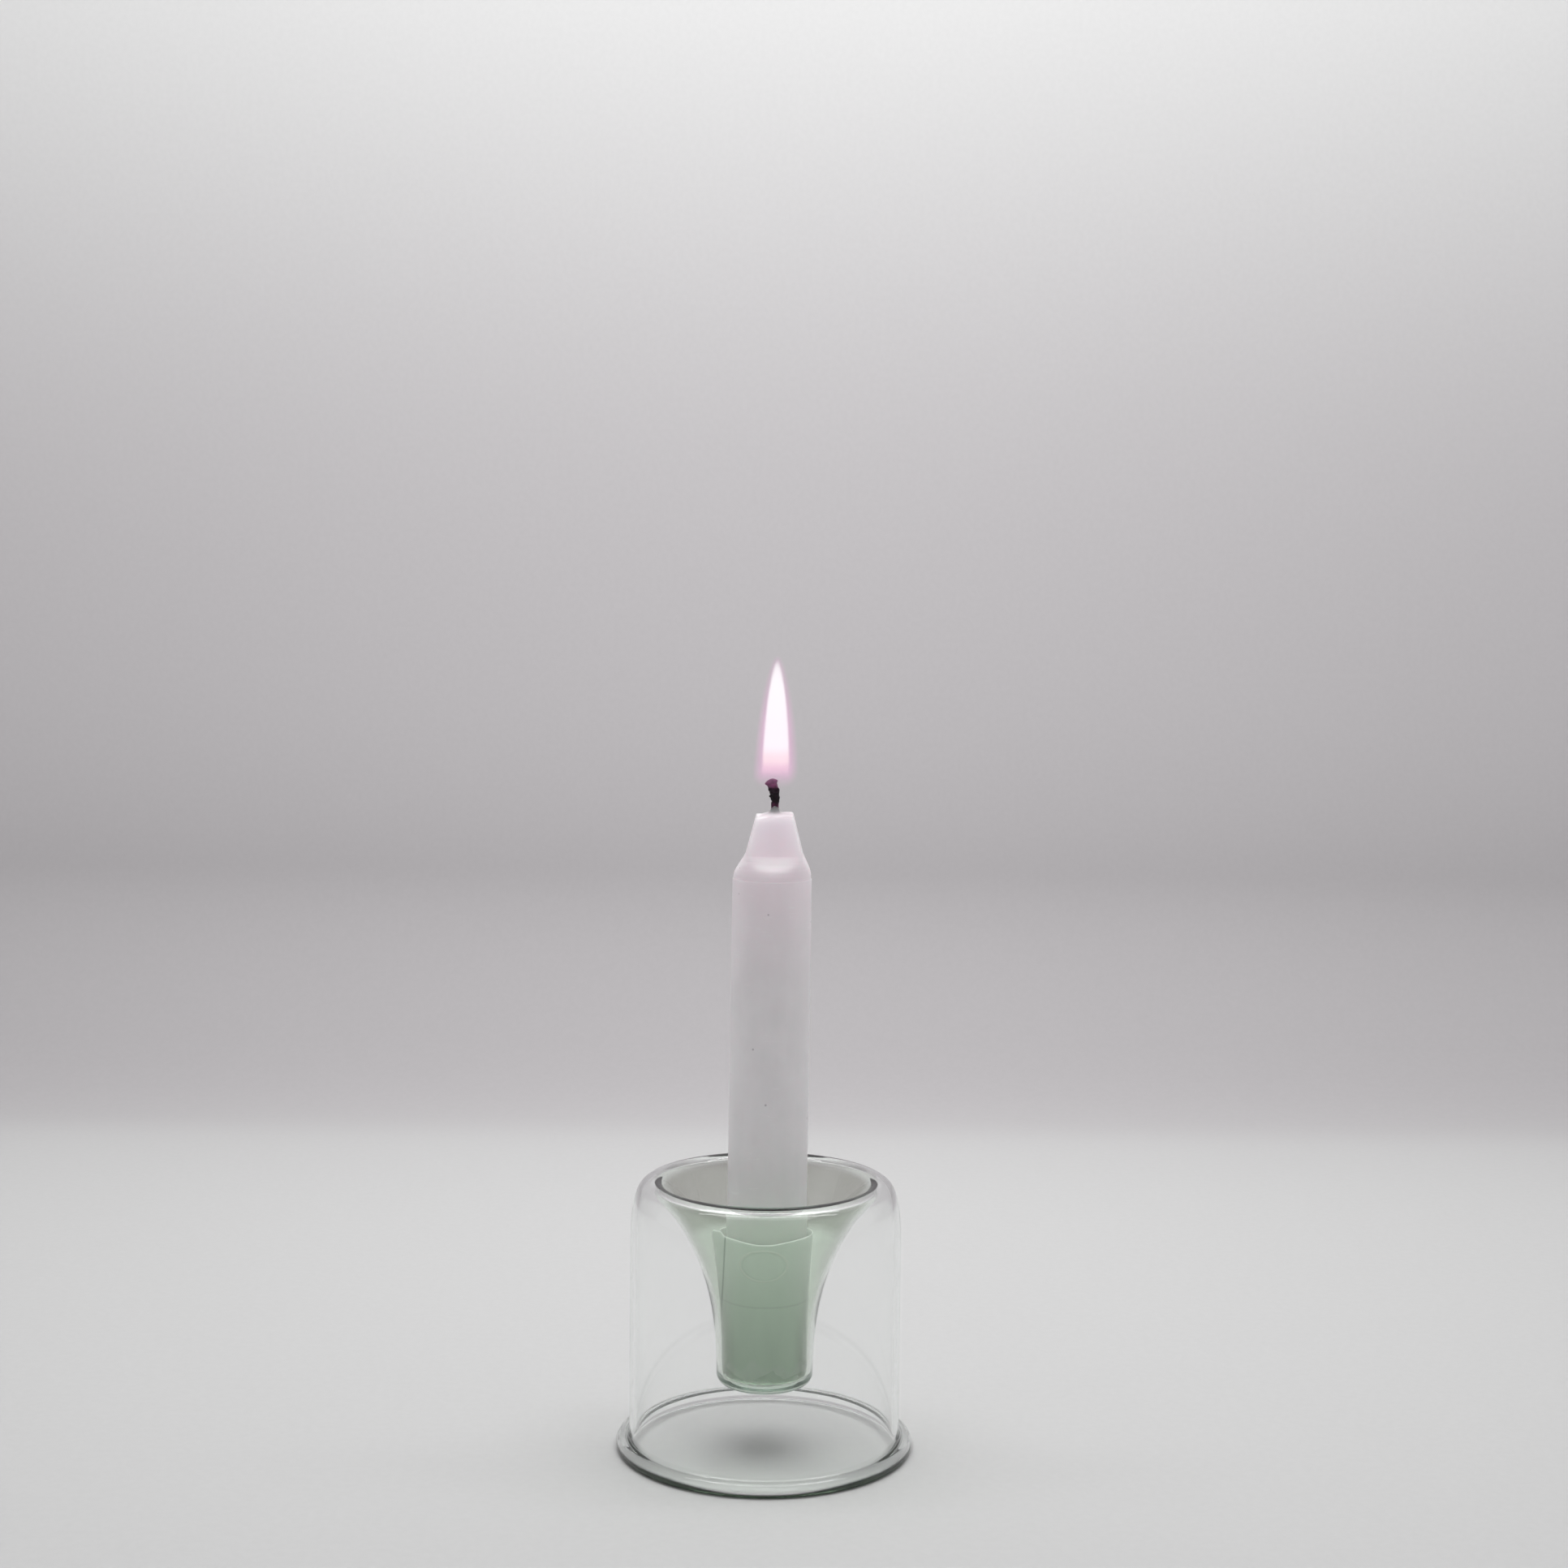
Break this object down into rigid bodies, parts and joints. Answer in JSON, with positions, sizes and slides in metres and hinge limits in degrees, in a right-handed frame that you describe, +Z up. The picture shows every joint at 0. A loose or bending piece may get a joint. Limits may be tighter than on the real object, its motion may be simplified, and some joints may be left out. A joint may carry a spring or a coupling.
{
  "type": "glass candlestick",
  "caption": "Double-walled glass candlestick: clear bell on a rolled foot with a tinted trumpet cup holding a lit household candle packed in film.",
  "frame": {"origin": "centre of the foot circle, on the surface the glass stands on", "axes": "+Z up along the glass's axis; -Y is the front; +X is the way the candle leans"},
  "size_m": [0.0822, 0.0822, 0.2183],
  "materials": {
    "clear_glass": "gloss",
    "tinted_glass": "gloss",
    "wax": "satin",
    "charred_wick": "matte",
    "flame": "matte",
    "film": "satin"
  },
  "bodies": {
    "holder": {"outer_bell": "clear_glass", "candle_cup": "tinted_glass"},
    "film": {"fit_film": "film"},
    "candle": {"candle_body": "wax", "wick": "charred_wick", "flame": "flame"}
  },
  "joints": [
    {"name": "film_lift", "type": "slide", "parent": "holder", "child": "film", "axis": [0.0058, 0, 1], "range_m": [0, 0.06]},
    {"name": "candle_lift", "type": "slide", "parent": "film", "child": "candle", "axis": [0.0058, 0, 1], "range_m": [0, 0.045]}
  ]
}
